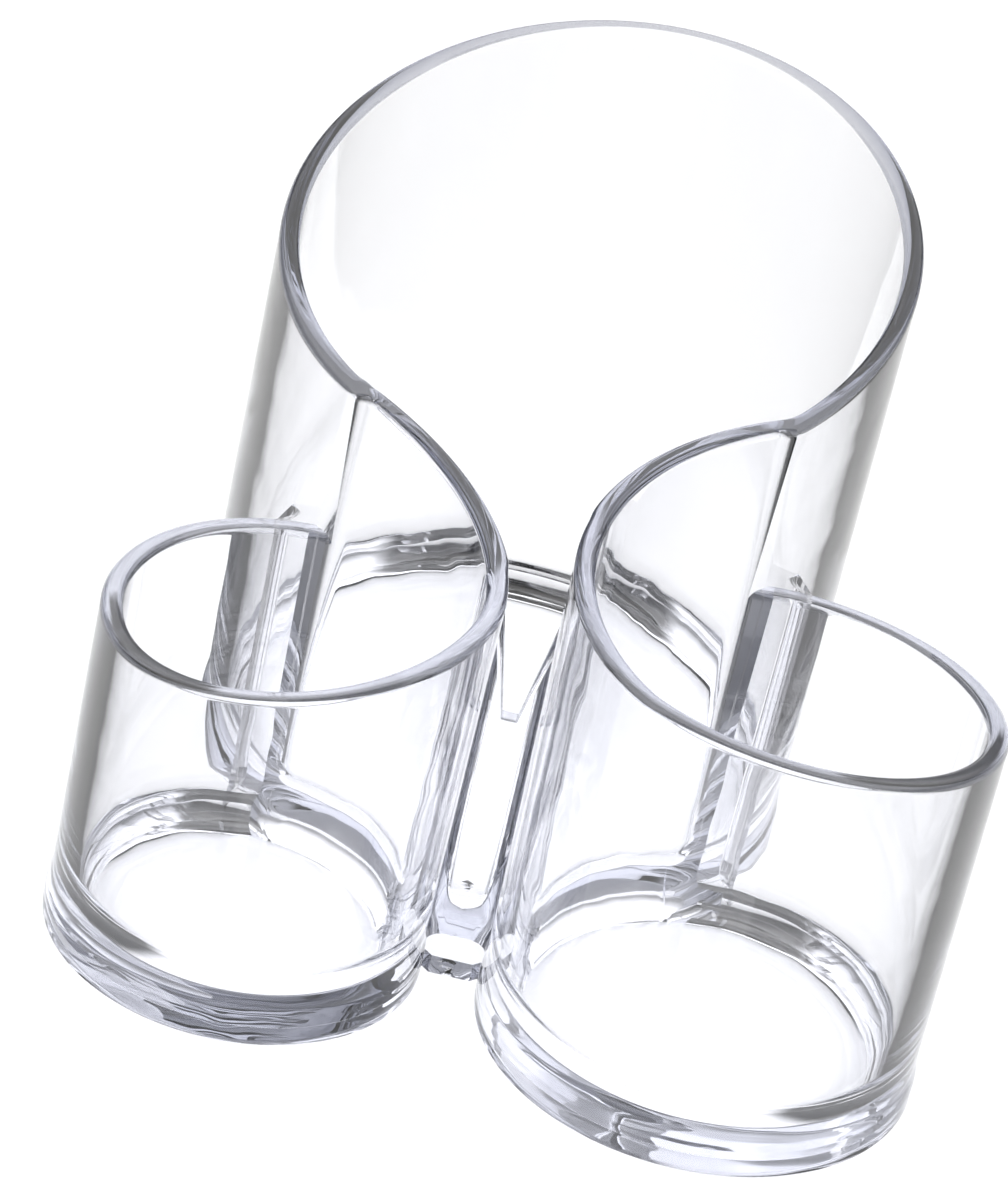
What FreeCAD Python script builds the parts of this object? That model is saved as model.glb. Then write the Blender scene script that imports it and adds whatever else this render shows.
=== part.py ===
import FreeCAD, Part
import math
import os

from FreeCAD import Vector

# Brush holder: three clear cups in one block, a tall one behind and two short ones in front.
# Millimetres. +Z is up, -Y is the front, z = 0 is the table.

# ---- Driving dimensions ----

# Outer radii at the table.
TALL_RADIUS = 45.5
LEFT_RADIUS = 27.4
RIGHT_RADIUS = 31.9

# Plan layout: the two short cups stand side by side with a gap, and the tall cup's circle
# reaches this far into each short cup's circle, so that they share their walls.
CUP_GAP = 9.3
LEFT_OVERLAP = 5.0
RIGHT_OVERLAP = 4.5

# Walls: thickness at the foot, and the mould's drafts. The outsides and the insides both open upwards.
FOOT_WALL = 3.6
OUTER_DRAFT = 0.6
INNER_DRAFT = 1.0
# The shared walls lean away from the tall cup's inside, and are this thick where they are tallest.
SHARED_WALL_TOP = 3.0

# Rims. The tall cup is cut by a slanted plane: its highest point, its slope, and the compass
# direction of the highest point, seen from above and counted from +X.
TALL_RIM_PEAK = 104.8
TALL_RIM_SLOPE = 16.8
TALL_RIM_DIRECTION = 67.0
# A short cup's rim is low at the back and the outside, rises round the front to a shoulder beside
# the web, and climbs along the shared wall up to the tall cup's rim. It rises between two sweep
# angles, and climbs from a third one, gently at first by the power given here.
LEFT_LOW_RIM = 53.2
LEFT_SHOULDER = 65.0
LEFT_RISE = (200.0, 355.0)
LEFT_CLIMB_START = 350.0
LEFT_CLIMB_POWER = 1.6
RIGHT_LOW_RIM = 58.2
RIGHT_SHOULDER = 71.4
RIGHT_RISE = (100.0, 310.0)
RIGHT_CLIMB_START = 305.0
RIGHT_CLIMB_POWER = 1.15
# Over this last part of its sweep, the climbing rim leans into the tall cup's slanted plane.
RIM_LEAN_SWEEP = 45.0

# Floor and foot plate. The floors meet the cups' own walls in wide fillets.
FOOT_HEIGHT = 3.0
FOOT_LIP = 0.5
FLOOR_TOP = 4.2
TALL_FLOOR_FILLET = 8.0
SHORT_FLOOR_FILLET = 8.0

# Web between the short cups, with its V notch.
WEB_FRONT = 6.2
WEB_THICKNESS = 3.0
WEB_FRONT_FILLET = 2.6
WEB_BACK_FILLET = 2.0
NOTCH_BOTTOM = 41.6
NOTCH_WIDTH = 2.0
NOTCH_HALF_ANGLE = 10.5

# Tongue of the foot plate, in front of the web.
TONGUE_FRONT = 0.3
TONGUE_WIDTH = 6.1

# Corners of the tall cup's inside, where its wall flows into the shared walls, and the upright
# grooves behind the short cups, where their outsides meet the tall cup's outside.
TALL_CORNER_FILLET = 6.0
GROOVE_FILLET = 3.0

# ---- Derived values ----

OUTER_SLOPE = math.tan(math.radians(OUTER_DRAFT))
INNER_SLOPE = math.tan(math.radians(INNER_DRAFT))
RIM_SLOPE = math.tan(math.radians(TALL_RIM_SLOPE))
PEAK_ANGLE = math.radians(TALL_RIM_DIRECTION)
RIM_DIRECTION = Vector(math.cos(PEAK_ANGLE), math.sin(PEAK_ANGLE), 0)
UP = Vector(0, 0, 1)

# ---- How the solids are made ----

# Solids that are cut away run past the model by this much.
MARGIN = 5.0
# The cups' insides are cut out with this much tolerance where faces nearly touch.
CUT_TOLERANCE = 0.0001
# A short cup's rim is cut in two lengths, by sweep angle: its own part, and the shared wall's part.
# Each cutter is drawn through this many steps.
RIM_FROM = 60.0
SHARED_RIM_FROM = 350.0
RIM_STEPS = 36
# The rim's direction at the end of a length is taken over this small angle.
NUDGE = 0.01
# An edge counts as upright when its rise is at least this share of its length, and as near a point
# when it passes within this distance. A floor's edge lies within FLOOR_REACH of the floor.
UPRIGHT_SHARE = 0.9
EDGE_REACH = 3.0
FLOOR_REACH = 0.1


def outer_radius(foot_radius, z):
    return foot_radius + OUTER_SLOPE * z


def inner_radius(foot_radius, z):
    return foot_radius - FOOT_WALL + INNER_SLOPE * z


def smooth_step(t):
    t = min(max(t, 0.0), 1.0)
    return t * t * (3.0 - 2.0 * t)


def circle_crossing(centre_a, radius_a, centre_b, radius_b):
    """The rear one of the two points where two circles cross."""
    apart = centre_b - centre_a
    distance = apart.Length
    along = (radius_a ** 2 - radius_b ** 2 + distance ** 2) / (2.0 * distance)
    across = math.sqrt(radius_a ** 2 - along ** 2)
    unit = apart / distance
    foot = centre_a + unit * along
    side = Vector(-unit.y, unit.x, 0) * across
    return max(foot + side, foot - side, key=lambda point: point.y)


# Plan positions before the origin is moved: x = 0 is the middle of the gap.
left_plan = Vector(-CUP_GAP / 2.0 - LEFT_RADIUS, 0, 0)
right_plan = Vector(CUP_GAP / 2.0 + RIGHT_RADIUS, 0, 0)
tall_plan = circle_crossing(
    left_plan, TALL_RADIUS + LEFT_RADIUS - LEFT_OVERLAP,
    right_plan, TALL_RADIUS + RIGHT_RADIUS - RIGHT_OVERLAP)

# The origin is the middle of the outline, on the table.
outline_left = left_plan.x - outer_radius(LEFT_RADIUS, LEFT_LOW_RIM)
outline_right = right_plan.x + outer_radius(RIGHT_RADIUS, RIGHT_LOW_RIM)
outline_front = -outer_radius(RIGHT_RADIUS, RIGHT_SHOULDER)
outline_back = tall_plan.y + outer_radius(TALL_RADIUS, TALL_RIM_PEAK)
GAP_X = -(outline_left + outline_right) / 2.0
FRONT_Y = -(outline_front + outline_back) / 2.0
SHIFT = Vector(GAP_X, FRONT_Y, 0)
LEFT_CENTRE = left_plan + SHIFT
RIGHT_CENTRE = right_plan + SHIFT
TALL_CENTRE = tall_plan + SHIFT


def tall_rim_height(point):
    """Height of the slanted plane that cuts the tall cup, above a point of the plan."""
    reach = (point - TALL_CENTRE).dot(RIM_DIRECTION)
    return TALL_RIM_PEAK - RIM_SLOPE * (outer_radius(TALL_RADIUS, TALL_RIM_PEAK) - reach)


class ShortCup:
    """One of the two short cups. Its sweep angle runs from the back, round the outside and the
    front, to the shared wall: counter-clockwise on the left cup, clockwise on the right one.
    Past 360 degrees it is on the shared wall, which ends where it meets the tall cup's inside."""

    def __init__(self, centre, radius, turn, low, shoulder, rise, climb_start, climb_power):
        self.centre = centre
        self.radius = radius
        self.turn = turn
        self.low = low
        self.shoulder = shoulder
        self.rise = rise
        self.climb_start = climb_start
        self.climb_power = climb_power
        guess = self.corner(inner_radius(radius, 0) + SHARED_WALL_TOP, TALL_RIM_PEAK)
        shared_top = tall_rim_height(guess)
        self.shared_radius = inner_radius(radius, shared_top) + SHARED_WALL_TOP + INNER_SLOPE * shared_top
        end = self.corner(self.shared_radius - INNER_SLOPE * shared_top, shared_top)
        self.end_angle = self.sweep_angle(end) + 360.0
        self.middle_radius = inner_radius(radius, shared_top) + SHARED_WALL_TOP / 2.0
        self.top = tall_rim_height(self.point(self.end_angle, self.middle_radius, 0))

    def corner(self, radius, z):
        """Where the tall cup's inside meets a circle about this cup."""
        return circle_crossing(TALL_CENTRE, inner_radius(TALL_RADIUS, z), self.centre, radius)

    def sweep_angle(self, point):
        arm = point - self.centre
        return math.degrees(math.atan2(arm.y, self.turn * arm.x))

    def point(self, angle, radius, z):
        turned = math.radians(angle)
        return self.centre + Vector(self.turn * radius * math.cos(turned), radius * math.sin(turned), z)

    def rim_height(self, angle):
        start, finish = self.rise
        front = smooth_step((angle - start) / (finish - start))
        share = max((angle - self.climb_start) / (self.end_angle - self.climb_start), 0.0)
        climb = share ** self.climb_power
        return self.low + (self.shoulder - self.low) * front + (self.top - self.shoulder) * climb

    def rim_point(self, angle, radius):
        """A point of the rim: level across the wall, but leaning into the tall cup's plane at the end."""
        middle = self.point(angle, self.middle_radius, 0)
        point = self.point(angle, radius, 0)
        lean = smooth_step(1.0 - (self.end_angle - angle) / RIM_LEAN_SWEEP)
        tilt = tall_rim_height(point) - tall_rim_height(middle)
        return point + UP * (self.rim_height(angle) + lean * tilt)


LEFT = ShortCup(
    LEFT_CENTRE, LEFT_RADIUS, 1, LEFT_LOW_RIM, LEFT_SHOULDER,
    LEFT_RISE, LEFT_CLIMB_START, LEFT_CLIMB_POWER)
RIGHT = ShortCup(
    RIGHT_CENTRE, RIGHT_RADIUS, -1, RIGHT_LOW_RIM, RIGHT_SHOULDER,
    RIGHT_RISE, RIGHT_CLIMB_START, RIGHT_CLIMB_POWER)
SHORT_CUPS = (LEFT, RIGHT)


# ---- Building blocks ----

def frustum(centre, foot_radius, slope, bottom, top):
    """A round block whose radius is foot_radius at the table and grows by slope."""
    base = centre + UP * bottom
    return Part.makeCone(foot_radius + slope * bottom, foot_radius + slope * top, top - bottom, base, UP)


def prism(points, bottom, top):
    corners = [point + UP * bottom for point in points]
    return Part.Face(Part.makePolygon(corners + corners[:1])).extrude(UP * (top - bottom))


def box(low_x, high_x, low_y, high_y, bottom, top):
    return Part.makeBox(high_x - low_x, high_y - low_y, top - bottom, Vector(low_x, low_y, bottom))


def upright_edges(solid, point):
    """The upright edges of a solid that pass near a point of the plan."""
    found = []
    for edge in solid.Edges:
        ends = [vertex.Point for vertex in edge.Vertexes]
        if len(ends) != 2:
            continue
        rise = abs(ends[1].z - ends[0].z)
        middle = (ends[0] + ends[1]) / 2.0
        near = Vector(middle.x - point.x, middle.y - point.y, 0).Length
        if rise > UPRIGHT_SHARE * (ends[1] - ends[0]).Length and near < EDGE_REACH:
            found.append(edge)
    return found


def shared_block(cup, top):
    """The space that a short cup and its shared wall take out of the tall cup's inside."""
    return frustum(cup.centre, cup.shared_radius, -INNER_SLOPE, 0.0, top)


def round_inside(centre, radius, fillet):
    """The round inside of a cup, with its floor fillet."""
    solid = frustum(centre, inner_radius(radius, 0), INNER_SLOPE, FLOOR_TOP, TALL_RIM_PEAK + MARGIN)
    rim = [edge for edge in solid.Edges if edge.BoundBox.ZMax < FLOOR_TOP + FLOOR_REACH]
    return solid.makeFillet(fillet, rim)


WEB_FACE = FRONT_Y + WEB_FRONT
WEB_BACK = WEB_FACE + WEB_THICKNESS
# The neck is the narrow part of the tall cup's inside, between the short cups and behind the web.
NECK_BACK = TALL_CENTRE.y - inner_radius(TALL_RADIUS, 0) + MARGIN


def tall_inside():
    """The inside of the tall cup: its own round, and the space between the short cups behind the web."""
    top = TALL_RIM_PEAK + MARGIN
    neck = box(LEFT_CENTRE.x, RIGHT_CENTRE.x, WEB_BACK, NECK_BACK, FLOOR_TOP, top)
    solid = frustum(TALL_CENTRE, inner_radius(TALL_RADIUS, 0), INNER_SLOPE, FLOOR_TOP, top)
    solid = solid.fuse(neck)
    for cup in SHORT_CUPS:
        solid = solid.cut(shared_block(cup, top + MARGIN))
    solid = solid.removeSplitter()
    for cup in SHORT_CUPS:
        corner = cup.corner(cup.shared_radius - INNER_SLOPE * cup.top, cup.top)
        solid = solid.makeFillet(TALL_CORNER_FILLET, upright_edges(solid, corner))
    for cup in SHORT_CUPS:
        reach = math.sqrt(cup.shared_radius ** 2 - (WEB_BACK - cup.centre.y) ** 2)
        corner = Vector(cup.centre.x + cup.turn * reach, WEB_BACK, 0)
        solid = solid.makeFillet(WEB_BACK_FILLET, upright_edges(solid, corner))
    return solid.common(round_inside(TALL_CENTRE, TALL_RADIUS, TALL_FLOOR_FILLET).fuse(neck))


def web():
    """The wall between the short cups, its front corners filleted and its top cut to a V. It also
    fills the space behind it where its back fillets stand."""
    top = max(LEFT_SHOULDER, RIGHT_SHOULDER)
    block = box(
        LEFT_CENTRE.x, RIGHT_CENTRE.x, FRONT_Y - RIGHT_RADIUS, WEB_BACK + WEB_BACK_FILLET, FOOT_HEIGHT, top)
    channel = box(
        LEFT_CENTRE.x, RIGHT_CENTRE.x, FRONT_Y - 2.0 * RIGHT_RADIUS, WEB_FACE, -MARGIN, top + MARGIN)
    for cup in SHORT_CUPS:
        outside = frustum(cup.centre, cup.radius, OUTER_SLOPE, -2.0 * MARGIN, top + 2.0 * MARGIN)
        channel = channel.cut(outside)
    channel = max(channel.Solids, key=lambda solid: solid.BoundBox.YMax)
    for cup in SHORT_CUPS:
        reach = math.sqrt(cup.radius ** 2 - WEB_FRONT ** 2)
        corner = Vector(cup.centre.x + cup.turn * reach, WEB_FACE, 0)
        channel = channel.makeFillet(WEB_FRONT_FILLET, upright_edges(channel, corner))
    flare = math.tan(math.radians(NOTCH_HALF_ANGLE)) * (top + MARGIN - NOTCH_BOTTOM)
    half = NOTCH_WIDTH / 2.0
    notch = [
        Vector(GAP_X - half, FRONT_Y - RIGHT_RADIUS, NOTCH_BOTTOM),
        Vector(GAP_X + half, FRONT_Y - RIGHT_RADIUS, NOTCH_BOTTOM),
        Vector(GAP_X + half + flare, FRONT_Y - RIGHT_RADIUS, top + MARGIN),
        Vector(GAP_X - half - flare, FRONT_Y - RIGHT_RADIUS, top + MARGIN)]
    cutter = Part.Face(Part.makePolygon(notch + notch[:1])).extrude(Vector(0, 4.0 * RIGHT_RADIUS, 0))
    return block.cut(channel).cut(cutter)


def above_rim(cup, start, end):
    """Everything above a short cup's rim between two sweep angles."""
    angles = [start + (end - start) * step / RIM_STEPS for step in range(RIM_STEPS + 1)]
    edges = []
    for radius in (inner_radius(cup.radius, 0) - MARGIN, cup.shared_radius + MARGIN):
        points = [cup.rim_point(angle, radius) for angle in angles]
        first = (cup.rim_point(start + NUDGE, radius) - points[0]) / NUDGE
        last = (points[-1] - cup.rim_point(end - NUDGE, radius)) / NUDGE
        curve = Part.BSplineCurve()
        curve.interpolate(
            Points=points, Parameters=angles, InitialTangent=first, FinalTangent=last, Scale=False)
        edges.append(curve.toShape())
    return Part.makeRuledSurface(edges[0], edges[1]).extrude(UP * TALL_RIM_PEAK)


def above_tall_rim():
    """Everything above the slanted plane, over the tall cup but not over the climbing rims."""
    reach = outer_radius(TALL_RADIUS, TALL_RIM_PEAK) + MARGIN
    corners = []
    for side_x, side_y in ((-1, -1), (1, -1), (1, 1), (-1, 1)):
        point = TALL_CENTRE + Vector(side_x * reach, side_y * reach, 0)
        corners.append(point + UP * tall_rim_height(point))
    slab = Part.Face(Part.makePolygon(corners + corners[:1])).extrude(UP * TALL_RIM_PEAK)
    slab = slab.common(Part.makeCylinder(reach, 2.0 * TALL_RIM_PEAK, TALL_CENTRE, UP))
    for cup in SHORT_CUPS:
        step = (cup.end_angle - SHARED_RIM_FROM) / RIM_STEPS
        angles = [SHARED_RIM_FROM + step * index for index in range(RIM_STEPS + 1)]
        near = [cup.point(angle, inner_radius(cup.radius, 0) - MARGIN, 0) for angle in angles]
        far = [cup.point(angle, cup.shared_radius + 2.0 * MARGIN, 0) for angle in reversed(angles)]
        slab = slab.cut(prism(near + far, 0.0, 2.0 * TALL_RIM_PEAK))
    return slab


def foot():
    """The foot plate: a lip round all three cups and a tongue in front of the web."""
    half = TONGUE_WIDTH / 2.0
    front = FRONT_Y + TONGUE_FRONT
    reach = CUP_GAP
    solid = prism([
        Vector(GAP_X - half, front, 0),
        Vector(GAP_X + half, front, 0),
        Vector(GAP_X + half + reach, front + reach, 0),
        Vector(GAP_X + half + reach, TALL_CENTRE.y, 0),
        Vector(GAP_X - half - reach, TALL_CENTRE.y, 0),
        Vector(GAP_X - half - reach, front + reach, 0)], 0.0, FOOT_HEIGHT)
    rounds = ((TALL_CENTRE, TALL_RADIUS), (LEFT_CENTRE, LEFT_RADIUS), (RIGHT_CENTRE, RIGHT_RADIUS))
    for centre, radius in rounds:
        solid = solid.fuse(Part.makeCylinder(radius + FOOT_LIP, FOOT_HEIGHT, centre, UP))
    return solid.removeSplitter()


# ---- The block of cups, and the pieces it divides into ----

def cup_block():
    """All three cups and the web above the foot plate, as one body."""
    top = TALL_RIM_PEAK
    body = frustum(TALL_CENTRE, TALL_RADIUS, OUTER_SLOPE, FOOT_HEIGHT, top)
    neck = box(LEFT_CENTRE.x, RIGHT_CENTRE.x, WEB_BACK, NECK_BACK, FOOT_HEIGHT, top)
    for cup in SHORT_CUPS:
        body = body.fuse(frustum(cup.centre, cup.radius, OUTER_SLOPE, FOOT_HEIGHT, top))
    for cup in SHORT_CUPS:
        groove = circle_crossing(TALL_CENTRE, TALL_RADIUS, cup.centre, cup.radius)
        body = body.makeFillet(GROOVE_FILLET, upright_edges(body, groove))
    for cup in SHORT_CUPS:
        body = body.fuse(shared_block(cup, top).common(neck))
    body = body.fuse(web())
    body = body.cut((tall_inside(),), CUT_TOLERANCE)
    for cup in SHORT_CUPS:
        body = body.cut(round_inside(cup.centre, cup.radius, SHORT_FLOOR_FILLET))
    body = body.cut(above_tall_rim())
    tall_full = frustum(TALL_CENTRE, TALL_RADIUS, OUTER_SLOPE, 0.0, 2.0 * top)
    for cup in SHORT_CUPS:
        body = body.cut(above_rim(cup, RIM_FROM, SHARED_RIM_FROM).cut(tall_full))
        body = body.cut(above_rim(cup, SHARED_RIM_FROM, cup.end_angle))
    return body


def web_zone():
    """The space of the web: between the short cups' outsides, and behind it between the shared walls."""
    top = 2.0 * TALL_RIM_PEAK
    low_x = LEFT_CENTRE.x
    high_x = RIGHT_CENTRE.x
    front = box(low_x, high_x, FRONT_Y - RIGHT_RADIUS, WEB_BACK, 0.0, top)
    back = box(low_x, high_x, WEB_BACK, WEB_BACK + WEB_BACK_FILLET, 0.0, top)
    for cup in SHORT_CUPS:
        front = front.cut(frustum(cup.centre, cup.radius, OUTER_SLOPE, -MARGIN, top + MARGIN))
        back = back.cut(shared_block(cup, top))
    return front.fuse(back)


def main():
    os.makedirs("parts", exist_ok=True)
    body = cup_block()
    middle = web_zone()
    pieces = {"front_web": body.common(middle), "foot_plate": foot()}
    rest = body.cut(middle)
    for name, cup in (("left_cup", LEFT), ("right_cup", RIGHT)):
        zone = Part.makeCylinder(cup.shared_radius, 2.0 * TALL_RIM_PEAK, cup.centre, UP)
        pieces[name] = rest.common(zone)
        rest = rest.cut(zone)
    pieces["tall_cup"] = rest
    for name, shape in pieces.items():
        volumes = [round(each.Volume, 2) for each in shape.Solids]
        solid = max(shape.Solids, key=lambda each: each.Volume)
        print(name, "solids", volumes, "valid", solid.isValid())
        solid.exportStep("parts/" + name + ".step")


main()
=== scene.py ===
import math

import bpy
import numpy as np
from mathutils import Matrix


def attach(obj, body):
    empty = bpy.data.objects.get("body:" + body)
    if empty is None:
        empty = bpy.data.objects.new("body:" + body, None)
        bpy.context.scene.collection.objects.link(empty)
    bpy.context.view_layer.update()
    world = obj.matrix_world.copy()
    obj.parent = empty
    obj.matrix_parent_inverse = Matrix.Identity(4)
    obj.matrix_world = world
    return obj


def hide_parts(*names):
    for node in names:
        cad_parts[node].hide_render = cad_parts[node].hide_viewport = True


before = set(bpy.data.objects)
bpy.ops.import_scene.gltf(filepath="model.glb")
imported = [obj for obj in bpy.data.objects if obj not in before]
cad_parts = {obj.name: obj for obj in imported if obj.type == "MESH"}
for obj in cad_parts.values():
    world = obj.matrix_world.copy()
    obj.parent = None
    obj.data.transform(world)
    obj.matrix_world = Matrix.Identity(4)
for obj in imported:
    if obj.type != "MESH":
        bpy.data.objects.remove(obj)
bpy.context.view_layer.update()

# Brush holder: three clear moulded cups in one block, with a web and a foot plate.
# Sizes are in millimetres, and become metres when a mesh is placed.

# ---- Sizes of the block ----

TALL_RADIUS = 45.5
LEFT_RADIUS = 27.4
RIGHT_RADIUS = 31.9
CUP_GAP = 9.3
LEFT_OVERLAP = 5.0
RIGHT_OVERLAP = 4.5
FOOT_WALL = 3.6
OUTER_SLOPE = math.tan(math.radians(0.6))
INNER_SLOPE = math.tan(math.radians(1.0))
SHARED_WALL_TOP = 3.0
RIM_PEAK = 104.8
RIM_SLOPE = math.tan(math.radians(16.8))
RIM_DIRECTION = math.radians(67.0)
RIM_LEAN_SWEEP = 45.0
FOOT_HEIGHT = 3.0
FOOT_LIP = 0.5
FLOOR_TOP = 4.2
WEB_FRONT = 6.2
WEB_THICKNESS = 3.0
WEB_FRONT_FILLET = 2.6
WEB_BACK_FILLET = 2.0
NOTCH_BOTTOM = 41.6
NOTCH_WIDTH = 2.0
NOTCH_SLOPE = math.tan(math.radians(10.5))
TONGUE_FRONT = 0.3
TONGUE_WIDTH = 6.1
CORNER_FILLET = 6.0
# Where the gap's middle meets the line through the short cups' centres.
PLAN_CENTRE = (-4.526, -37.633)

# The short cups' rims: height outside, height where the web meets them, the sweep angles between
# which the front climbs, and where and how steeply the shared wall climbs to the tall cup's rim.
LEFT_LOW = 53.2
LEFT_SHOULDER = 65.0
LEFT_RISE = (200.0, 355.0)
LEFT_CLIMB_START = 350.0
LEFT_CLIMB_POWER = 1.6
RIGHT_LOW = 58.2
RIGHT_SHOULDER = 71.4
RIGHT_RISE = (100.0, 310.0)
RIGHT_CLIMB_START = 305.0
RIGHT_CLIMB_POWER = 1.15

# Roundings that the mould gives: the rims, the floors' edges, the foot, the grooves and the notch.
RIM_ROUND = 1.3
TALL_FLOOR_FILLET = 8.0
SHORT_FLOOR_FILLET = 8.0
FOOT_ROUND = 1.0
GROOVE_FILLET = 3.0
NOTCH_ROUND = 0.7
# The least radius left of the corner fillet where it runs down over the floor's fillet.
LEAST_CORNER = 0.5
# A rim's two roundings take up no more than this share of the wall each.
ROUND_SHARE = 0.48
# The outsides sweep out into the foot plate's lip below this height.
SWEEP_TOP = 7.0

# How finely the block's long surfaces are divided.
STEP_ANGLE = 1.25
RIM_STEPS = 7
FILLET_STEPS = 8
WALL_STEPS = 5
FOOT_STEPS = 4
DISC_SIDES = 288
TURN_SPACING = 0.5
SMOOTH_BELOW = math.radians(28.0)
FOOT_EDGE = math.radians(60.0)

# The height at which the walls' plan is laid out, in the middle of their length.
PLAN_HEIGHT = 60.0
# A shared wall bends into the tall cup's wall from this many degrees before its end, and the bend
# runs this many degrees on along the tall cup's wall.
TURN_LEAD = 17.0
TURN_REACH = 9.0
# A short cup's wall starts this many degrees before its column and comes out to its full place
# between these two angles past the column.
WALL_LEAD = 5.5
WALL_OUT = (3.0, 8.0)

# Walls run this far down into the foot plate, and buried faces stay this far under the skin.
BURIED = 1.5
TUCK = 0.01
# How deep the ends of the web and of the groove fillets lie in the walls they join.
WEB_BURIED = 1.8
GROOVE_BURIED = 1.2
# Heights between the foot and the rim at which the groove's fillet follows the walls.
GROOVE_HEIGHTS = (BURIED, FOOT_HEIGHT, 4.0, 5.0, 6.0, SWEEP_TOP, 20.0, 35.0)
# How far the notch's cutter runs past the web in front and behind, and above.
CUT_PAST = 10.0
CUT_ABOVE = 5.0

RIM_SIDE = np.array([math.cos(RIM_DIRECTION), math.sin(RIM_DIRECTION)])


def smooth_step(t):
    t = min(max(t, 0.0), 1.0)
    return t * t * (3.0 - 2.0 * t)


def outer_radius(foot_radius, z):
    sweep = smooth_step((SWEEP_TOP - z) / (SWEEP_TOP - FOOT_HEIGHT))
    lip = FOOT_LIP - 2.0 * TUCK - OUTER_SLOPE * FOOT_HEIGHT
    return foot_radius + OUTER_SLOPE * z + lip * sweep


def inner_radius(foot_radius, z):
    return foot_radius - FOOT_WALL + INNER_SLOPE * z


def direction(angle):
    return np.array([math.cos(angle), math.sin(angle)])


def angle_of(arm):
    return math.atan2(arm[1], arm[0])


def nearest_turn(start, end):
    """The turn from one angle to another, the short way round."""
    return (end - start + math.pi) % (2.0 * math.pi) - math.pi


def circle_crossing(centre_a, radius_a, centre_b, radius_b):
    """The rear one of the two points where two circles cross."""
    apart = centre_b - centre_a
    distance = np.linalg.norm(apart)
    along = (radius_a ** 2 - radius_b ** 2 + distance ** 2) / (2.0 * distance)
    across = math.sqrt(radius_a ** 2 - along ** 2)
    unit = apart / distance
    foot = centre_a + unit * along
    side = np.array([-unit[1], unit[0]]) * across
    return max(foot + side, foot - side, key=lambda point: point[1])


left_plan = np.array([-CUP_GAP / 2.0 - LEFT_RADIUS, 0.0])
right_plan = np.array([CUP_GAP / 2.0 + RIGHT_RADIUS, 0.0])
tall_plan = circle_crossing(
    left_plan, TALL_RADIUS + LEFT_RADIUS - LEFT_OVERLAP,
    right_plan, TALL_RADIUS + RIGHT_RADIUS - RIGHT_OVERLAP)
CENTRE = np.array(PLAN_CENTRE)
TALL = tall_plan + CENTRE
GAP_X, FRONT_Y = CENTRE
WEB_FACE = FRONT_Y + WEB_FRONT
WEB_BACK = WEB_FACE + WEB_THICKNESS


def plane_height(point):
    """Height of the tall cup's slanted rim above a point of the plan."""
    reach = (point - TALL) @ RIM_SIDE
    return RIM_PEAK - RIM_SLOPE * (outer_radius(TALL_RADIUS, RIM_PEAK) - reach)


class ShortCup:
    """A short cup. Its sweep runs from the back round the outside and the front to the wall that
    it shares with the tall cup: counter-clockwise on the left one (turn 1), clockwise on the
    right one (turn -1)."""

    def __init__(self, centre, radius, turn, low, shoulder, rise, climb_start, climb_power):
        self.centre = centre
        self.radius = radius
        self.turn = turn
        self.low = low
        self.shoulder = shoulder
        self.rise = rise
        self.climb_start = climb_start
        self.climb_power = climb_power
        start = circle_crossing(
            TALL, inner_radius(TALL_RADIUS, RIM_PEAK),
            centre, inner_radius(radius, 0) + SHARED_WALL_TOP)
        top = plane_height(start)
        self.shared_foot = inner_radius(radius, top) + SHARED_WALL_TOP + INNER_SLOPE * top
        end = circle_crossing(TALL, inner_radius(TALL_RADIUS, top), centre, self.shared(top))
        self.end_angle = self.sweep(end)
        self.middle_radius = inner_radius(radius, top) + SHARED_WALL_TOP / 2.0
        self.top = plane_height(self.point(self.end_angle, self.middle_radius))

    def shared(self, z):
        return self.shared_foot - INNER_SLOPE * z

    def sweep(self, point):
        arm = point - self.centre
        return math.degrees(math.atan2(arm[1], self.turn * arm[0])) + 360.0

    def point(self, angle, radius):
        turned = math.radians(angle)
        return self.centre + radius * np.array([self.turn * math.cos(turned), math.sin(turned)])

    def rim_height(self, point, angle):
        """Height of the rim above a point of the plan that stands at a sweep angle."""
        if angle >= self.end_angle:
            return plane_height(point)
        front = smooth_step((angle - self.rise[0]) / (self.rise[1] - self.rise[0]))
        way = max((angle - self.climb_start) / (self.end_angle - self.climb_start), 0.0)
        climb = way ** self.climb_power
        height = self.low + (self.shoulder - self.low) * front + (self.top - self.shoulder) * climb
        lean = smooth_step(1.0 - (self.end_angle - angle) / RIM_LEAN_SWEEP)
        middle = self.point(angle, self.middle_radius)
        return height + lean * (plane_height(point) - plane_height(middle))


LEFT = ShortCup(
    left_plan + CENTRE, LEFT_RADIUS, 1, LEFT_LOW, LEFT_SHOULDER, LEFT_RISE, LEFT_CLIMB_START,
    LEFT_CLIMB_POWER)
RIGHT = ShortCup(
    right_plan + CENTRE, RIGHT_RADIUS, -1, RIGHT_LOW, RIGHT_SHOULDER, RIGHT_RISE,
    RIGHT_CLIMB_START, RIGHT_CLIMB_POWER)


# ---- The wall that winds round all three cups ----

# A station is one upright slice through the wall. It knows where the wall's two faces stand at a
# height, how far each face flares out over the floor, and how high the rim is above a point.

class Station:
    def __init__(self, face_a, face_b, flare_a, flare_b, rim):
        self.faces = (face_a, face_b)
        self.flares = (flare_a, flare_b)
        self.rim = rim


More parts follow.
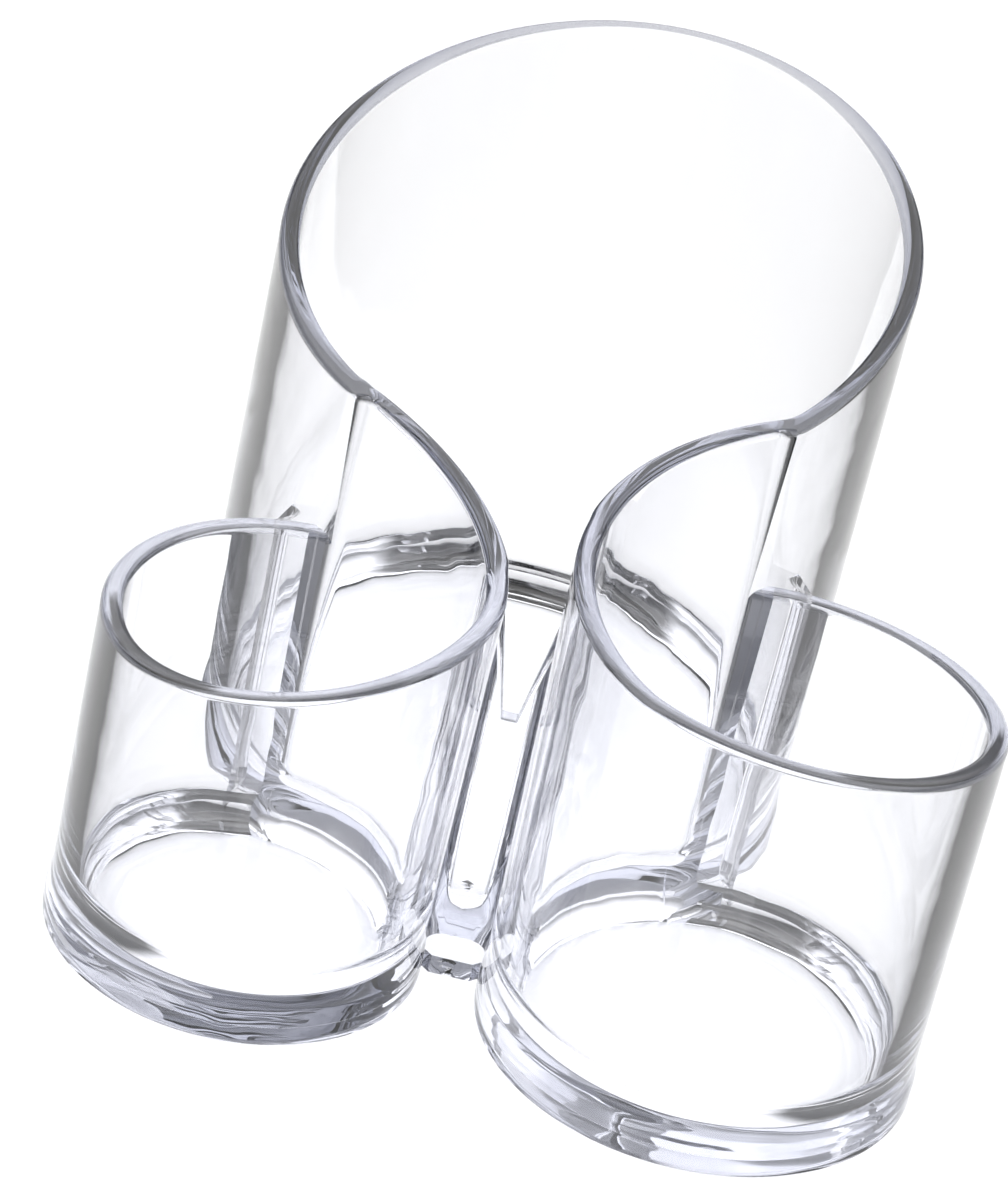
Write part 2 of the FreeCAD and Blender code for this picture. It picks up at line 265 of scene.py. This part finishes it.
def ring_station(cup, angle, tuck):
    """A slice of a short cup's own wall: face a is outside or in the tall cup, face b is inside."""
    web_back = WEB_FRONT + WEB_THICKNESS
    front = 360.0 + math.degrees(math.asin(WEB_FRONT / outer_radius(cup.radius, PLAN_HEIGHT)))
    back = 360.0 + math.degrees(math.asin(web_back / cup.shared(PLAN_HEIGHT)))
    shared = smooth_step((angle - front) / (back - front))

    def face_a(z, flare):
        outside = outer_radius(cup.radius, z)
        return cup.point(angle, outside * (1.0 - shared) + (cup.shared(z) + flare) * shared)

    def face_b(z, flare):
        return cup.point(angle, inner_radius(cup.radius, z) - flare + tuck)

    def rim(point):
        return cup.rim_height(point, angle)

    return Station(face_a, face_b, TALL_FLOOR_FILLET * shared, SHORT_FLOOR_FILLET, rim)


def tall_station(angle):
    """A slice of the tall cup's own wall: face a is inside, face b is outside."""
    arm = direction(angle)

    def face_a(z, flare):
        return TALL + arm * (inner_radius(TALL_RADIUS, z) - flare)

    def face_b(z, flare):
        return TALL + arm * outer_radius(TALL_RADIUS, z)

    return Station(face_a, face_b, TALL_FLOOR_FILLET, 0.0, plane_height)


class Turn:
    """The bend where a short cup's shared wall swings into the tall cup's wall."""

    def __init__(self, cup):
        self.cup = cup
        self.start_angle = cup.end_angle - TURN_LEAD
        corner = self.outside_corner(PLAN_HEIGHT)
        self.end = angle_of(corner - TALL) - cup.turn * math.radians(TURN_REACH)

    def outside_corner(self, z):
        cup = self.cup
        return circle_crossing(
            TALL, outer_radius(TALL_RADIUS, z), cup.centre, inner_radius(cup.radius, z))

    def parts_a(self, z, flare=0.0):
        """Face a: along the shared wall, round the fillet, along the tall cup's inside."""
        cup = self.cup
        fillet = max(CORNER_FILLET - flare, LEAST_CORNER)
        centre = circle_crossing(
            TALL, inner_radius(TALL_RADIUS, z) - flare - fillet,
            cup.centre, cup.shared(z) + flare + fillet)
        first = angle_of(cup.centre - centre)
        last = angle_of(centre - TALL)
        return centre, first, nearest_turn(first, last), last, nearest_turn(last, self.end), fillet

    def parts_b(self, z):
        corner = self.outside_corner(z)
        first = angle_of(corner - TALL)
        return self.cup.sweep(corner), first, nearest_turn(first, self.end)

    def breaks(self, z):
        """The shares of the way at which each face passes from one arc to the next."""
        cup = self.cup
        centre, _, sweep, _, run, _ = self.parts_a(z)
        length_a = [
            math.radians(cup.sweep(centre) - self.start_angle) * cup.shared(z),
            abs(sweep) * CORNER_FILLET,
            abs(run) * inner_radius(TALL_RADIUS, z)]
        corner_angle, _, run = self.parts_b(z)
        length_b = [
            math.radians(corner_angle - self.start_angle) * inner_radius(cup.radius, z),
            abs(run) * outer_radius(TALL_RADIUS, z)]
        whole_a = sum(length_a)
        whole_b = sum(length_b)
        return length_a[0] / whole_a, 1.0 - length_a[2] / whole_a, length_b[0] / whole_b, whole_b

    def stations(self):
        split_1, split_2, split_b, length = self.breaks(PLAN_HEIGHT)
        marks = sorted({0.0, split_1, split_2, split_b, 1.0})
        shares = []
        for low, high in zip(marks, marks[1:]):
            count = max(1, round((high - low) * length / TURN_SPACING))
            shares += [low + (high - low) * step / count for step in range(count)]
        return [self.station(share, split_1, split_2, split_b) for share in shares + [1.0]]

    def station(self, share, split_1, split_2, split_b):
        cup = self.cup

        def face_a(z, flare):
            centre, first, sweep, last, run, fillet = self.parts_a(z, flare)
            if share <= split_1:
                along = (cup.sweep(centre) - self.start_angle) * share / split_1
                return cup.point(self.start_angle + along, cup.shared(z) + flare)
            if share <= split_2:
                turned = first + sweep * (share - split_1) / (split_2 - split_1)
                return centre + direction(turned) * fillet
            turned = last + run * (share - split_2) / (1.0 - split_2)
            return TALL + direction(turned) * (inner_radius(TALL_RADIUS, z) - flare)

        def face_b(z, flare):
            corner_angle, first, run = self.parts_b(z)
            if share <= split_b:
                angle = self.start_angle + (corner_angle - self.start_angle) * share / split_b
                return cup.point(angle, inner_radius(cup.radius, z) - flare)
            turned = first + run * (share - split_b) / (1.0 - split_b)
            return TALL + direction(turned) * outer_radius(TALL_RADIUS, z)

        def rim(point):
            return cup.rim_height(point, cup.sweep(point))

        flare_b = SHORT_FLOOR_FILLET if share <= split_b else 0.0
        return Station(face_a, face_b, TALL_FLOOR_FILLET, flare_b, rim)


def slice_points(station):
    """The outline of one slice, from the foot of face a over the rim to the foot of face b."""
    tops = []
    for face in station.faces:
        height = station.rim(face(PLAN_HEIGHT, 0.0))
        tops.append(station.rim(face(height, 0.0)))
    width = np.linalg.norm(station.faces[0](tops[0], 0.0) - station.faces[1](tops[1], 0.0))
    rounding = min(RIM_ROUND, ROUND_SHARE * width)
    sides = []
    for face, flare, top, fillet in zip(
            station.faces, station.flares, tops, (TALL_FLOOR_FILLET, SHORT_FLOOR_FILLET)):
        rows = [(BURIED, flare), (FOOT_HEIGHT, flare)]
        for step in range(FILLET_STEPS + 1):
            turned = math.pi / 2.0 * step / FILLET_STEPS
            z = FLOOR_TOP + fillet * (1.0 - math.cos(turned))
            rows.append((z, flare * (1.0 - math.sin(turned))))
        low = FLOOR_TOP + fillet
        for step in range(1, WALL_STEPS + 1):
            rows.append((low + (top - rounding - low) * step / WALL_STEPS, 0.0))
        sides.append([np.append(face(z, out), z) for z, out in rows])
    end_a = sides[0][-1]
    end_b = sides[1][-1]
    across = (end_b - end_a)[:2]
    across_length = np.linalg.norm(across)
    crown = ([], [])
    for side in (0, 1):
        for step in range(1, RIM_STEPS + 1):
            turned = math.pi / 2.0 * step / RIM_STEPS
            share = rounding * (1.0 - math.cos(turned)) / across_length
            if side:
                share = 1.0 - share
            plan = end_a[:2] + across * share
            line = tops[0] + (tops[1] - tops[0]) * share
            crown[side].append(np.append(plan, line - rounding * (1.0 - math.sin(turned))))
    return np.array(sides[0] + crown[0] + crown[1][::-1] + sides[1][::-1])


def spread(start, end, step):
    count = max(1, round(abs(end - start) / step))
    return [start + (end - start) * each / count for each in range(count + 1)]


def wall_stations():
    """All slices in order: the left cup, the tall cup clockwise round its back, the right cup. Also
    gives the middles of the left cup's slices and of the right cup's, counted from each end."""
    left_turn = Turn(LEFT)
    right_turn = Turn(RIGHT)
    sides = []
    for cup, turn in ((LEFT, left_turn), (RIGHT, right_turn)):
        column = turn.parts_b(cup.low)[0] - 360.0
        ring = []
        for angle in spread(column - WALL_LEAD, turn.start_angle, STEP_ANGLE):
            out = smooth_step((angle - column - WALL_OUT[0]) / (WALL_OUT[1] - WALL_OUT[0]))
            ring.append(ring_station(cup, angle, TUCK * (1.0 - out)))
        sides.append(ring[:-1] + turn.stations()[:-1])
    start = left_turn.end % (2.0 * math.pi)
    end = right_turn.end
    back = [tall_station(angle) for angle in spread(start, end, math.radians(STEP_ANGLE))]
    return sides[0] + back + sides[1][::-1], (len(sides[0]) // 2, -len(sides[1]) // 2)


# ---- Making meshes ----

def deselect():
    for each in bpy.context.selected_objects:
        each.select_set(False)


def make_active(piece):
    deselect()
    piece.select_set(True)
    bpy.context.view_layer.objects.active = piece


def tube(name, rows):
    """A closed solid skinned over a row of closed outlines, with flat ends."""
    deselect()
    rows = np.asarray(rows) * 0.001
    rows = np.concatenate([rows, rows[:, :1]], axis=1)
    count, width = rows.shape[:2]
    bpy.ops.mesh.primitive_grid_add(x_subdivisions=width - 1, y_subdivisions=count - 1, size=1.0)
    piece = bpy.context.object
    piece.name = name
    piece.data.name = name
    place = np.empty(count * width * 3)
    piece.data.vertices.foreach_get("co", place)
    place = place.reshape(-1, 3)
    column = np.rint((place[:, 0] + 0.5) * (width - 1)).astype(int)
    line = np.rint((place[:, 1] + 0.5) * (count - 1)).astype(int)
    piece.data.vertices.foreach_set("co", rows[line, column].reshape(-1))
    piece.data.update()
    bpy.ops.object.mode_set(mode="EDIT")
    bpy.ops.mesh.select_all(action="SELECT")
    bpy.ops.mesh.remove_doubles(threshold=0.0000005)
    bpy.ops.mesh.select_all(action="SELECT")
    bpy.ops.mesh.fill_holes(sides=0)
    bpy.ops.mesh.select_all(action="SELECT")
    bpy.ops.mesh.normals_make_consistent(inside=False)
    bpy.ops.object.mode_set(mode="OBJECT")
    return piece


def combine(piece, other, how):
    """Adds one closed solid to another, or takes it away, and removes the one that was used."""
    make_active(piece)
    joiner = piece.modifiers.new("combine", "BOOLEAN")
    joiner.operation = how
    joiner.object = other
    joiner.solver = "MANIFOLD"
    bpy.ops.object.modifier_apply(modifier="combine")
    make_active(other)
    bpy.ops.object.delete()


def arc_points(centre, first, sweep, radius):
    return [
        centre + direction(first + sweep * step / FILLET_STEPS) * radius
        for step in range(FILLET_STEPS + 1)]


def web_outline(z, flare):
    """The web's outline at a height: a fillet at each of its four corners, its ends in the cups."""
    front = []
    back = []
    for cup in (LEFT, RIGHT):
        outside = outer_radius(cup.radius, z) - 3.0 * TUCK
        inside = cup.shared(z) + flare - 3.0 * TUCK
        front_y = WEB_FACE - WEB_FRONT_FILLET
        back_y = WEB_BACK + WEB_BACK_FILLET + flare
        buried = outer_radius(cup.radius, z) - WEB_BURIED
        for y, side, radius, upright, outline in (
                (front_y, outside, WEB_FRONT_FILLET, math.pi / 2.0, front),
                (back_y, inside, WEB_BACK_FILLET, -math.pi / 2.0, back)):
            reach = math.sqrt((side + radius) ** 2 - (y - cup.centre[1]) ** 2)
            centre = np.array([cup.centre[0] + cup.turn * reach, y])
            arm = (centre - cup.centre) / np.linalg.norm(centre - cup.centre)
            first = angle_of(cup.centre - centre)
            outline.append(
                [cup.centre + arm * buried]
                + arc_points(centre, first, nearest_turn(first, upright), radius))
    around = front[0] + front[1][::-1] + back[1] + back[0][::-1]
    return [np.append(point, z) for point in around]


def make_web():
    """The web, with its top cut to a V whose edges are rounded."""
    rows = [web_outline(z, TALL_FLOOR_FILLET) for z in (BURIED, FOOT_HEIGHT)]
    for step in range(FILLET_STEPS + 1):
        turned = math.pi / 2.0 * step / FILLET_STEPS
        z = FLOOR_TOP + TALL_FLOOR_FILLET * (1.0 - math.cos(turned))
        rows.append(web_outline(z, TALL_FLOOR_FILLET * (1.0 - math.sin(turned))))
    top = LEFT.shoulder - 0.1
    low = FLOOR_TOP + TALL_FLOOR_FILLET
    for step in range(1, WALL_STEPS + 1):
        rows.append(web_outline(low + (top - low) * step / WALL_STEPS, 0.0))
    piece = tube("web", rows)
    across = []
    for step in range(FILLET_STEPS + 1):
        turned = math.pi / 2.0 * step / FILLET_STEPS
        y = WEB_FACE + NOTCH_ROUND * (1.0 - math.cos(turned))
        across.append((y, NOTCH_ROUND * (1.0 - math.sin(turned))))
    across += [(WEB_FACE + WEB_BACK - y, out) for y, out in reversed(across)]
    before = (across[0][0] - CUT_PAST, NOTCH_ROUND)
    behind = (across[-1][0] + CUT_PAST, NOTCH_ROUND)
    cuts = []
    for y, out in [before] + across + [behind]:
        half = NOTCH_WIDTH / 2.0 + out * math.hypot(1.0, NOTCH_SLOPE)
        low = NOTCH_BOTTOM - out
        high = top + CUT_ABOVE
        low_half = half + NOTCH_SLOPE * (low - NOTCH_BOTTOM)
        high_half = half + NOTCH_SLOPE * (high - NOTCH_BOTTOM)
        cuts.append([
            (GAP_X - high_half, y, high), (GAP_X - low_half, y, low), (GAP_X + low_half, y, low),
            (GAP_X + high_half, y, high)])
    combine(piece, tube("notch", cuts), "DIFFERENCE")
    return piece


def make_groove(cup):
    """The fillet in the upright groove behind a short cup, where it meets the tall cup."""
    column = Turn(cup).parts_b(cup.low)[0] - 360.0
    top = cup.rim_height(cup.point(column, cup.middle_radius), column)
    heights = [(z, 0.0) for z in GROOVE_HEIGHTS]
    for step in range(RIM_STEPS + 1):
        turned = math.pi / 2.0 * step / RIM_STEPS
        z = top - RIM_ROUND * (1.0 - math.sin(turned)) - TUCK
        heights.append((z, RIM_ROUND * (1.0 - math.cos(turned))))
    rows = []
    for z, shrink in heights:
        tall = outer_radius(TALL_RADIUS, z)
        short = outer_radius(cup.radius, z)
        centre = circle_crossing(TALL, tall + GROOVE_FILLET, cup.centre, short + GROOVE_FILLET)
        first = angle_of(cup.centre - centre)
        sweep = nearest_turn(first, angle_of(TALL - centre))
        arc = arc_points(centre, first, sweep, GROOVE_FILLET + shrink)
        ends = []
        for middle, radius, end in ((cup.centre, short, arc[0]), (TALL, tall, arc[-1])):
            arm = end - middle
            ends.append(middle + arm * ((radius - GROOVE_BURIED) / np.linalg.norm(arm)))
        rows.append([np.append(point, z) for point in [ends[0]] + arc + [ends[1]]])
    return tube("groove", rows)


def disc(name, centre, radius, bottom, top):
    deselect()
    bpy.ops.mesh.primitive_cylinder_add(
        vertices=DISC_SIDES, radius=radius * 0.001, depth=(top - bottom) * 0.001,
        location=(centre[0] * 0.001, centre[1] * 0.001, (top + bottom) * 0.0005))
    piece = bpy.context.object
    piece.name = name
    bpy.ops.object.transform_apply(location=True, rotation=False, scale=False)
    return piece


def slab(name, outline, bottom, top):
    return tube(name, [[(x, y, z) for x, y in outline] for z in (bottom, top)])


def make_foot():
    """The foot plate: a lip round all three cups, a tongue in front of the web, rounded edges."""
    piece = disc("foot", TALL, TALL_RADIUS + FOOT_LIP, 0.0, FOOT_HEIGHT)
    for cup in (LEFT, RIGHT):
        combine(piece, disc("lip", cup.centre, cup.radius + FOOT_LIP, 0.0, FOOT_HEIGHT), "UNION")
    half = TONGUE_WIDTH / 2.0
    front = FRONT_Y + TONGUE_FRONT
    tongue = slab("tongue", [
        (GAP_X - half, front), (GAP_X + half, front),
        (GAP_X + half + CUP_GAP, front + CUP_GAP), (GAP_X + half + CUP_GAP, TALL[1]),
        (GAP_X - half - CUP_GAP, TALL[1]), (GAP_X - half - CUP_GAP, front + CUP_GAP)],
        0.0, FOOT_HEIGHT)
    combine(piece, tongue, "UNION")
    make_active(piece)
    rounder = piece.modifiers.new("round", "BEVEL")
    rounder.width = FOOT_ROUND * 0.001
    rounder.segments = FOOT_STEPS
    rounder.limit_method = "ANGLE"
    rounder.angle_limit = FOOT_EDGE
    bpy.ops.object.modifier_apply(modifier="round")
    return piece


def make_floor():
    """The floors of all three cups, a hair above the fillets' lowest line."""
    top = FLOOR_TOP + 0.3 * TUCK
    reach = FOOT_WALL / 2.0
    piece = disc("floor", TALL, TALL_RADIUS - reach, 0.5 * BURIED, top)
    for cup in (LEFT, RIGHT):
        lobe = disc("short_floor", cup.centre, cup.radius - reach, 0.5 * BURIED, top)
        combine(piece, lobe, "UNION")
    neck = slab("neck", [
        (LEFT.centre[0], WEB_FACE + 1.0), (RIGHT.centre[0], WEB_FACE + 1.0),
        (RIGHT.centre[0], TALL[1]), (LEFT.centre[0], TALL[1])], 0.5 * BURIED, top)
    combine(piece, neck, "UNION")
    return piece


def make_block():
    stations, (left_end, right_end) = wall_stations()
    slices = [slice_points(station) for station in stations]
    piece = tube("clear_block", slices[left_end:right_end])
    parts = [
        tube("left_wall", slices[:left_end + 1]), tube("right_wall", slices[right_end - 1:]),
        make_foot(), make_floor(), make_web(), make_groove(LEFT), make_groove(RIGHT)]
    for part in parts:
        combine(piece, part, "UNION")
    make_active(piece)
    bpy.ops.object.shade_smooth_by_angle(angle=SMOOTH_BELOW)
    weigh = piece.modifiers.new("weigh", "WEIGHTED_NORMAL")
    weigh.keep_sharp = True
    weigh.weight = 100
    bpy.ops.object.modifier_apply(modifier="weigh")
    return piece


block = make_block()
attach(block, "root")
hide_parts("tall_cup", "left_cup", "right_cup", "front_web", "foot_plate")


# ---- Clear plastic ----

# The plastic's faint tint, how it bends light, and what it takes from light on a metre's way.
TINT = (0.985, 0.987, 1.0, 1.0)
BENDING = 1.59
DEPTH_TINT = (0.48, 0.50, 0.60, 1.0)
DENSITY = 14.0
# Light that has met more faces than this leaves straight through, and keeps this share.
LONGEST_PATH = 12.5
TOLL = 0.75
# The waves of the moulded faces: how many to a metre, and how high in metres.
WAVE_SCALE = 90.0
WAVE_HEIGHT = 0.00006
WAVE_DETAIL = 1.0


def clear_plastic():
    material = bpy.data.materials.new("clear_plastic")
    material.use_nodes = True
    nodes = material.node_tree.nodes
    links = material.node_tree.links
    shader = nodes["Principled BSDF"]
    shader.inputs["Base Color"].default_value = TINT
    shader.inputs["Roughness"].default_value = 0.0
    shader.inputs["IOR"].default_value = BENDING
    shader.inputs["Transmission Weight"].default_value = 1.0
    path = nodes.new("ShaderNodeLightPath")
    through = nodes.new("ShaderNodeBsdfTransparent")
    mix = nodes.new("ShaderNodeMixShader")
    trapped = nodes.new("ShaderNodeMath")
    trapped.operation = "GREATER_THAN"
    trapped.inputs[1].default_value = LONGEST_PATH
    either = nodes.new("ShaderNodeMath")
    either.operation = "MAXIMUM"
    links.new(path.outputs["Ray Depth"], trapped.inputs[0])
    links.new(trapped.outputs["Value"], either.inputs[0])
    links.new(path.outputs["Is Shadow Ray"], either.inputs[1])
    toll = nodes.new("ShaderNodeMapRange")
    toll.inputs["To Min"].default_value = TOLL
    toll.inputs["To Max"].default_value = 1.0
    links.new(path.outputs["Is Shadow Ray"], toll.inputs["Value"])
    links.new(toll.outputs["Result"], through.inputs["Color"])
    links.new(either.outputs["Value"], mix.inputs["Fac"])
    links.new(shader.outputs["BSDF"], mix.inputs[1])
    links.new(through.outputs["BSDF"], mix.inputs[2])
    links.new(mix.outputs["Shader"], nodes["Material Output"].inputs["Surface"])
    # The moulded faces are a little wavy.
    place = nodes.new("ShaderNodeTexCoord")
    waves = nodes.new("ShaderNodeTexNoise")
    waves.inputs["Scale"].default_value = WAVE_SCALE
    waves.inputs["Detail"].default_value = WAVE_DETAIL
    bump = nodes.new("ShaderNodeBump")
    bump.inputs["Distance"].default_value = WAVE_HEIGHT
    links.new(place.outputs["Object"], waves.inputs["Vector"])
    links.new(waves.outputs["Fac"], bump.inputs["Height"])
    links.new(bump.outputs["Normal"], shader.inputs["Normal"])
    body = nodes.new("ShaderNodeVolumeAbsorption")
    body.inputs["Color"].default_value = DEPTH_TINT
    body.inputs["Density"].default_value = DENSITY
    links.new(body.outputs["Volume"], nodes["Material Output"].inputs["Volume"])
    return material


block.data.materials.clear()
block.data.materials.append(clear_plastic())


# ---- Table, light and camera ----

# The table is white. Light that was turned back inside the clear walls sees painted shade instead:
# past an oval about the holder, the table's colour turns nearly black, in place of a dark room
# round it. The oval's middle, half its width and length, how softly it ends.
SHEET_MIDDLE = (0.0, 0.1)
SHEET_REACH = (0.05, 0.6)
SHEET_EDGE = (0.95, 1.05)
PAPER = 0.97
# Painted shade: the table's colour past the oval, seen only by light turned back inside the clear
# walls.
PAINTED_SHADE = 0.08
TABLE_SIZE = 6.0
TABLE_TOP = -0.0001


# The table's material: white paper, with painted shade past the oval for light turned back inside
# the clear walls.
def paper_and_painted_shade():
    material = bpy.data.materials.new("paper_and_painted_shade")
    material.use_nodes = True
    nodes = material.node_tree.nodes
    links = material.node_tree.links
    shader = nodes["Principled BSDF"]
    shader.inputs["Roughness"].default_value = 0.9
    shader.inputs["Specular IOR Level"].default_value = 0.0
    place = nodes.new("ShaderNodeTexCoord")
    scale = nodes.new("ShaderNodeVectorMath")
    scale.operation = "MULTIPLY_ADD"
    scale.inputs[1].default_value = (1.0 / SHEET_REACH[0], 1.0 / SHEET_REACH[1], 0.0)
    scale.inputs[2].default_value = (
        -SHEET_MIDDLE[0] / SHEET_REACH[0], -SHEET_MIDDLE[1] / SHEET_REACH[1], 0.0)
    length = nodes.new("ShaderNodeVectorMath")
    length.operation = "LENGTH"
    # Painted shade: past the oval the table's colour fades from white to nearly black.
    painted_shade_fade = nodes.new("ShaderNodeMapRange")
    painted_shade_fade.interpolation_type = "SMOOTHSTEP"
    painted_shade_fade.inputs["From Min"].default_value = SHEET_EDGE[0]
    painted_shade_fade.inputs["From Max"].default_value = SHEET_EDGE[1]
    painted_shade_fade.inputs["To Min"].default_value = PAPER
    painted_shade_fade.inputs["To Max"].default_value = PAINTED_SHADE
    path = nodes.new("ShaderNodeLightPath")
    turned_back = nodes.new("ShaderNodeMath")
    turned_back.operation = "MINIMUM"
    inside = nodes.new("ShaderNodeMath")
    inside.operation = "MINIMUM"
    inside.inputs[1].default_value = 1.0
    seen = nodes.new("ShaderNodeMix")
    seen.data_type = "FLOAT"
    seen.inputs["A"].default_value = PAPER
    links.new(place.outputs["Object"], scale.inputs[0])
    links.new(scale.outputs["Vector"], length.inputs[0])
    links.new(length.outputs["Value"], painted_shade_fade.inputs["Value"])
    # Only light turned back inside the clear walls sees the painted shade; seen straight, the table
    # is white.
    links.new(path.outputs["Glossy Depth"], turned_back.inputs[0])
    links.new(path.outputs["Transmission Depth"], turned_back.inputs[1])
    links.new(turned_back.outputs["Value"], inside.inputs[0])
    links.new(inside.outputs["Value"], seen.inputs["Factor"])
    links.new(painted_shade_fade.outputs["Result"], seen.inputs["B"])
    links.new(seen.outputs["Result"], shader.inputs["Base Color"])
    return material


deselect()
bpy.ops.mesh.primitive_plane_add(size=TABLE_SIZE, location=(0.0, 0.0, TABLE_TOP))
table = bpy.context.object
table.name = "table"
table.data.materials.append(paper_and_painted_shade())

# The studio: brighter overhead than near the table, and dark in the direction of CAMERA_SIDE.
# The brightness is given at steps of height, from level with the table up to overhead.
SKY = ((0.0, 0.35), (0.25, 0.35), (0.6, 2.0))
CAMERA_SIDE = (0.0, -0.847, 0.533)
DARK_FROM = math.cos(math.radians(54.0))
DARK_TO = math.cos(math.radians(42.0))
WHITE = (1.0, 1.0, 1.0, 1.0)


def make_studio():
    world = bpy.data.worlds.new("studio")
    world.use_nodes = True
    nodes = world.node_tree.nodes
    links = world.node_tree.links
    coords = nodes.new("ShaderNodeTexCoord")
    split = nodes.new("ShaderNodeSeparateXYZ")
    ramp = nodes.new("ShaderNodeValToRGB")
    ramp.color_ramp.elements.new(SKY[2][0])
    for stop, (position, brightness) in zip(ramp.color_ramp.elements, SKY):
        stop.position = position
        stop.color = (brightness, brightness, brightness, 1.0)
    links.new(coords.outputs["Generated"], split.inputs["Vector"])
    links.new(split.outputs["Z"], ramp.inputs["Fac"])
    facing = nodes.new("ShaderNodeVectorMath")
    facing.operation = "DOT_PRODUCT"
    facing.inputs[1].default_value = CAMERA_SIDE
    shade = nodes.new("ShaderNodeMapRange")
    shade.interpolation_type = "SMOOTHSTEP"
    shade.inputs["From Min"].default_value = DARK_FROM
    shade.inputs["From Max"].default_value = DARK_TO
    shade.inputs["To Min"].default_value = 1.0
    shade.inputs["To Max"].default_value = 0.0
    shaded = nodes.new("ShaderNodeVectorMath")
    shaded.operation = "SCALE"
    links.new(coords.outputs["Generated"], facing.inputs[0])
    links.new(facing.outputs["Value"], shade.inputs["Value"])
    links.new(ramp.outputs["Color"], shaded.inputs[0])
    links.new(shade.outputs["Result"], shaded.inputs["Scale"])
    # The room itself isn't seen: past the table's end all is white.
    path = nodes.new("ShaderNodeLightPath")
    backdrop = nodes.new("ShaderNodeMix")
    backdrop.data_type = "RGBA"
    backdrop.inputs["B"].default_value = WHITE
    links.new(path.outputs["Is Camera Ray"], backdrop.inputs["Factor"])
    links.new(shaded.outputs["Vector"], backdrop.inputs["A"])
    links.new(backdrop.outputs["Result"], nodes["Background"].inputs["Color"])
    nodes["Background"].inputs["Strength"].default_value = 1.0
    return world


scene = bpy.context.scene
scene.world = make_studio()

# Long light paths, so that light that runs inside the clear walls comes out again.
BOUNCES = 32
scene.cycles.max_bounces = BOUNCES
scene.cycles.glossy_bounces = BOUNCES
scene.cycles.transmission_bounces = BOUNCES
scene.cycles.transparent_max_bounces = BOUNCES
scene.view_settings.view_transform = "Standard"

# The camera: its direction and roll in radians, the point it is set out from and the distance in
# metres, and how far it stands beside and above that line, in steps of 1/6900 of a metre.
AZIMUTH = 0.009248506
ELEVATION = 0.56190987
ROLL = -0.2282294
TARGET = (-0.004376, -0.012633, 0.040)
DISTANCE = 1.0
STEPS_TO_METRE = 6900.0
BESIDE = 20.231 / STEPS_TO_METRE
ABOVE = 61.266 / STEPS_TO_METRE
FOCAL_LENGTH = 207.0
SENSOR_WIDTH = 36.0


def make_camera():
    forward = np.array([
        -math.sin(AZIMUTH) * math.cos(ELEVATION), math.cos(AZIMUTH) * math.cos(ELEVATION),
        -math.sin(ELEVATION)])
    right = np.array([math.cos(AZIMUTH), math.sin(AZIMUTH), 0.0])
    down = np.cross(forward, right)
    across = math.cos(ROLL) * right + math.sin(ROLL) * down
    below = -math.sin(ROLL) * right + math.cos(ROLL) * down
    place = np.array(TARGET) - forward * DISTANCE - across * BESIDE - below * ABOVE
    lens = bpy.data.cameras.new("camera")
    lens.lens = FOCAL_LENGTH
    lens.sensor_width = SENSOR_WIDTH
    camera = bpy.data.objects.new("camera", lens)
    scene.collection.objects.link(camera)
    camera.matrix_world = Matrix((
        (across[0], -below[0], -forward[0], place[0]),
        (across[1], -below[1], -forward[1], place[1]),
        (across[2], -below[2], -forward[2], place[2]),
        (0.0, 0.0, 0.0, 1.0)))
    return camera


scene.camera = make_camera()
